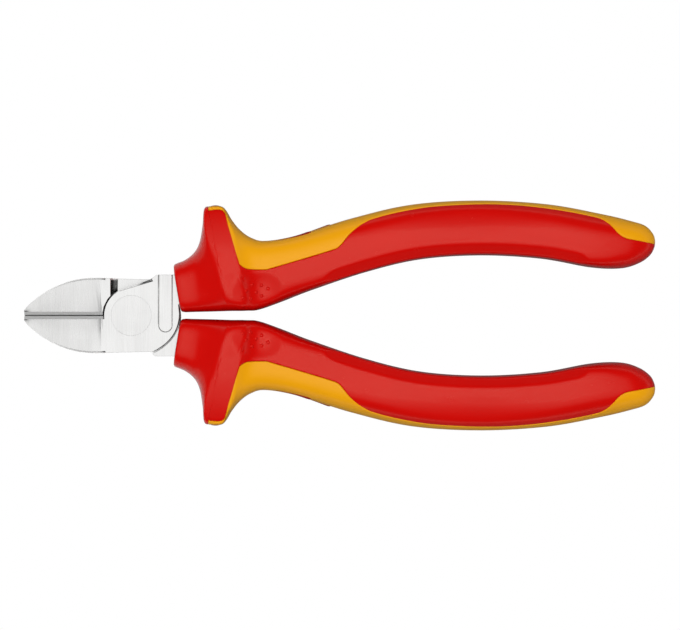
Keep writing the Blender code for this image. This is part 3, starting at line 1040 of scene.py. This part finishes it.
# %% [markdown]
# ## Capsule line
# On each joint face a long capsule is pressed into the steel. A thin round tool, swept
# along that outline just above the face, cuts an even shallow line when it is taken out
# of the steel. A curve with a round section makes such a tool from a few points.

# %% Capsule tool
CAPSULE = {"left": 6.05, "right": 9.05, "top": 9.6, "bottom": -2.15}
CAPSULE_STEPS = 16  # straight pieces in the round end
GROOVE_RADIUS = 0.12
GROOVE_HEIGHT = 4.22  # the middle of the tool


def capsule_path():
    """Down one side of the capsule, round its end and up the other side."""
    middle = (CAPSULE["left"] + CAPSULE["right"]) / 2
    radius = (CAPSULE["right"] - CAPSULE["left"]) / 2
    path = [(CAPSULE["left"], CAPSULE["top"])]
    for step in range(CAPSULE_STEPS + 1):
        angle = math.pi + math.pi * step / CAPSULE_STEPS
        x = middle + radius * math.cos(angle)
        y = CAPSULE["bottom"] + radius * math.sin(angle)
        path.append((x, y))
    path.append((CAPSULE["right"], CAPSULE["top"]))
    return path


def capsule_tool(side):
    """The swept tool as a mesh, in its place over the joint face of one half."""
    path = capsule_path()
    curve = bpy.data.curves.new("capsule_line", "CURVE")
    curve.dimensions = "3D"
    curve.bevel_depth = GROOVE_RADIUS * MM
    curve.bevel_resolution = 2
    curve.use_fill_caps = True
    spline = curve.splines.new("POLY")
    spline.points.add(len(path) - 1)
    for knot, (x, y) in zip(spline.points, path):
        knot.co = (x * MM, y * MM, GROOVE_HEIGHT * MM, 1)
    guide = bpy.data.objects.new("capsule_line", curve)
    bpy.context.scene.collection.objects.link(guide)
    bpy.context.view_layer.update()
    evaluated = guide.evaluated_get(bpy.context.evaluated_depsgraph_get())
    mesh = bpy.data.meshes.new_from_object(evaluated)
    bpy.data.objects.remove(guide)
    place = Matrix.Translation(PIVOT)
    if side == "rear":
        place = place @ Matrix.Rotation(math.pi, 4, "X")
    mesh.transform(place)
    tool = bpy.data.objects.new("capsule_tool", mesh)
    bpy.context.scene.collection.objects.link(tool)
    return tool


print("capsule path", len(capsule_path()), "points")

# %% [markdown]
# ## Engraved copy
# The forging's shape in the engineering model is right already, but it is loose
# triangles. A copy of it is merged, its flat faces are joined into one each, and a
# Boolean takes the tool out of it. The result is a mesh again before the next step.


# %% Engrave
def engraved(piece, tool):
    """The piece's mesh with the tool cut out of it."""
    cut = piece.modifiers.new("capsule", "BOOLEAN")
    cut.operation = "DIFFERENCE"
    cut.object = tool
    bpy.context.view_layer.update()
    evaluated = piece.evaluated_get(bpy.context.evaluated_depsgraph_get())
    mesh = bpy.data.meshes.new_from_object(evaluated)
    piece.modifiers.clear()
    bpy.data.objects.remove(tool)
    return mesh


def merged_copy(side):
    """One forging as a new object, with its triangles joined into flat faces."""
    bm = bmesh.new()
    bm.from_mesh(frame["nodes"][f"{side}_forging"].data)
    bmesh.ops.remove_doubles(bm, verts=bm.verts, dist=1e-6)
    bmesh.ops.dissolve_limit(bm, angle_limit=math.radians(1), verts=bm.verts, edges=bm.edges)
    mesh = bpy.data.meshes.new(f"steel_{side}")
    bm.to_mesh(mesh)
    bm.free()
    piece = bpy.data.objects.new(f"steel_{side}", mesh)
    bpy.context.scene.collection.objects.link(piece)
    return piece


print("engraving helpers ready")

# %% [markdown]
# ## Honing
# Two small things are put right on the copy. The root of each jaw is ground in one go
# with the joint face, so its points are lifted flush with that face. And the cutting
# edges of real cutters close to a line without light between them, so their points are
# brought nearly to the middle of the tool. Both could be done by hand in edit mode; here
# the points are found by where they are.

# %% Hone
FACE_HEIGHT = 4.2 * MM  # of the joint face over the middle of the joint
ROOT_START, ROOT_END = -7.3, -3.9  # where a jaw's root runs into the plate
ROOT_BASE = 3.4  # points lower than this are left alone
ROOT_LIFT, ROOT_SNAP = 0.09, 0.04
LIFT_DONE_X = -6.2
EDGE_END_X = -6.2  # the cutting edges end here
EDGE_GAP = 0.045
EDGE_CLOSING = 0.05


def hone(bm):
    """Lifts the jaw's root, closes the cutting edge, and tells how many points it closed."""
    honed = 0
    for vert in bm.verts:
        height = vert.co.z - PIVOT.z
        at_root = PIVOT.x + ROOT_START * MM < vert.co.x < PIVOT.x + ROOT_END * MM
        if at_root and ROOT_BASE * MM < abs(height) < FACE_HEIGHT:
            near = fade((vert.co.x - PIVOT.x) / MM, ROOT_START, LIFT_DONE_X)
            lifted = abs(height) + ROOT_LIFT * MM * near
            if lifted > FACE_HEIGHT - ROOT_SNAP * MM:
                lifted = FACE_HEIGHT
            vert.co.z = PIVOT.z + math.copysign(lifted, height)
        if vert.co.x < PIVOT.x + EDGE_END_X * MM and abs(vert.co.y) < EDGE_GAP * MM:
            vert.co.y *= EDGE_CLOSING
            honed += 1
    bmesh.ops.remove_doubles(bm, verts=bm.verts, dist=2e-6)
    bmesh.ops.dissolve_degenerate(bm, edges=bm.edges, dist=2e-6)
    flat = math.radians(0.5)
    bmesh.ops.dissolve_limit(bm, angle_limit=flat, verts=bm.verts, edges=bm.edges)
    return honed


print("joint face at", round(FACE_HEIGHT / MM, 2), "mm")

# %% [markdown]
# ## Edges of the steel
# Real ground edges are a little round and catch a line of light. A Bevel modifier does
# that, but only on long edges between broad faces, because on short ones it overlaps
# itself; the others are marked sharp. Level faces are shaded flat, so that the slopes
# beside them don't bend their shading.

# %% Edge marks
EDGE_ROUND = 0.06
BEVEL_CREASE, SHARP_CREASE = 28, 13  # degrees
LEAST_LENGTH = 0.5 * MM
LEAST_AREA = 0.5 * MM * MM
LEVEL = 0.9995  # upward part of the normal of a level face


def mark_edges(bm):
    """Gives bevel weight to broad long edges, keeps other creases sharp."""
    weight = bm.edges.layers.float.new("bevel_weight_edge")
    for edge in bm.edges:
        crease = math.degrees(edge.calc_face_angle(0)) if len(edge.link_faces) == 2 else 90
        cutting = all(
            abs(v.co.y) < 0.2 * MM and v.co.x < PIVOT.x - 6 * MM for v in edge.verts
        )
        broad = all(face.calc_area() > LEAST_AREA for face in edge.link_faces)
        long = edge.calc_length() > LEAST_LENGTH
        if crease > BEVEL_CREASE and long and broad and not cutting:
            edge[weight] = 1.0
        elif crease > SHARP_CREASE:
            edge.smooth = False
    for face in bm.faces:
        face.smooth = abs(face.normal.z) < LEVEL


print("edges rounded by", EDGE_ROUND, "mm")


# %% Steel halves
def steel_half(side, body):
    """One forging, engraved, honed and with rounded edges."""
    piece = merged_copy(side)
    bm = bmesh.new()
    bm.from_mesh(engraved(piece, capsule_tool(side)))
    bmesh.ops.remove_doubles(bm, verts=bm.verts, dist=1e-6)
    honed = hone(bm)
    mark_edges(bm)
    bm.to_mesh(piece.data)
    bm.free()
    edges = piece.modifiers.new("edges", "BEVEL")
    edges.width = EDGE_ROUND * MM
    edges.segments = 2
    edges.limit_method = "WEIGHT"
    edges.use_clamp_overlap = False
    edges.harden_normals = True
    piece.data.materials.clear()
    piece.data.materials.append(STEEL)
    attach(piece, body)
    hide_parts(f"{side}_forging")
    print(piece.name, len(piece.data.polygons), "faces,", honed, "points honed")


for side, body_name in HALVES.items():
    steel_half(side, body_name)

# %% [markdown]
# ## Rivet
# The rivet's heads are set tight into the plates and ground flush, so only a hair line
# shows. A merged copy of its solid has the rims of both heads spread to close the gap.
# Nearly every edge is kept sharp, because smooth shading over the wide flat heads would
# show as a dark dimple.

# %% Rivet
HEAD_FROM = 4.2  # points further out than this are the rims of the heads
HEAD_RADIUS = 4.455

pin = bmesh.new()
pin.from_mesh(frame["nodes"]["pivot_rivet"].data)
bmesh.ops.remove_doubles(pin, verts=pin.verts, dist=1e-6)
for vert in pin.verts:
    flat = Vector((vert.co.x - PIVOT.x, vert.co.y))
    if flat.length > HEAD_FROM * MM:
        spread = flat.normalized() * HEAD_RADIUS * MM
        vert.co.x, vert.co.y = PIVOT.x + spread.x, spread.y
pin_mesh = bpy.data.meshes.new("rivet")
pin.to_mesh(pin_mesh)
pin.free()
pin_mesh.shade_smooth()
pin_mesh.set_sharp_from_angle(angle=math.radians(5))
pin_mesh.materials.append(RIVET)
rivet = bpy.data.objects.new("rivet", pin_mesh)
bpy.context.scene.collection.objects.link(rivet)
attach(rivet, "rear_half")
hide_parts("pivot_rivet")
print("rivet", len(pin_mesh.polygons), "faces")

# %% [markdown]
# ## Pieces kept from the engineering model
# The inner sleeves already have their true shape, so they only get a finish.

# %% Finish of the sleeves
for side in HALVES:
    kept = frame["nodes"][f"sleeve_{side}"].data
    kept.materials.clear()
    kept.materials.append(SLEEVE)
    print("kept", kept.name)
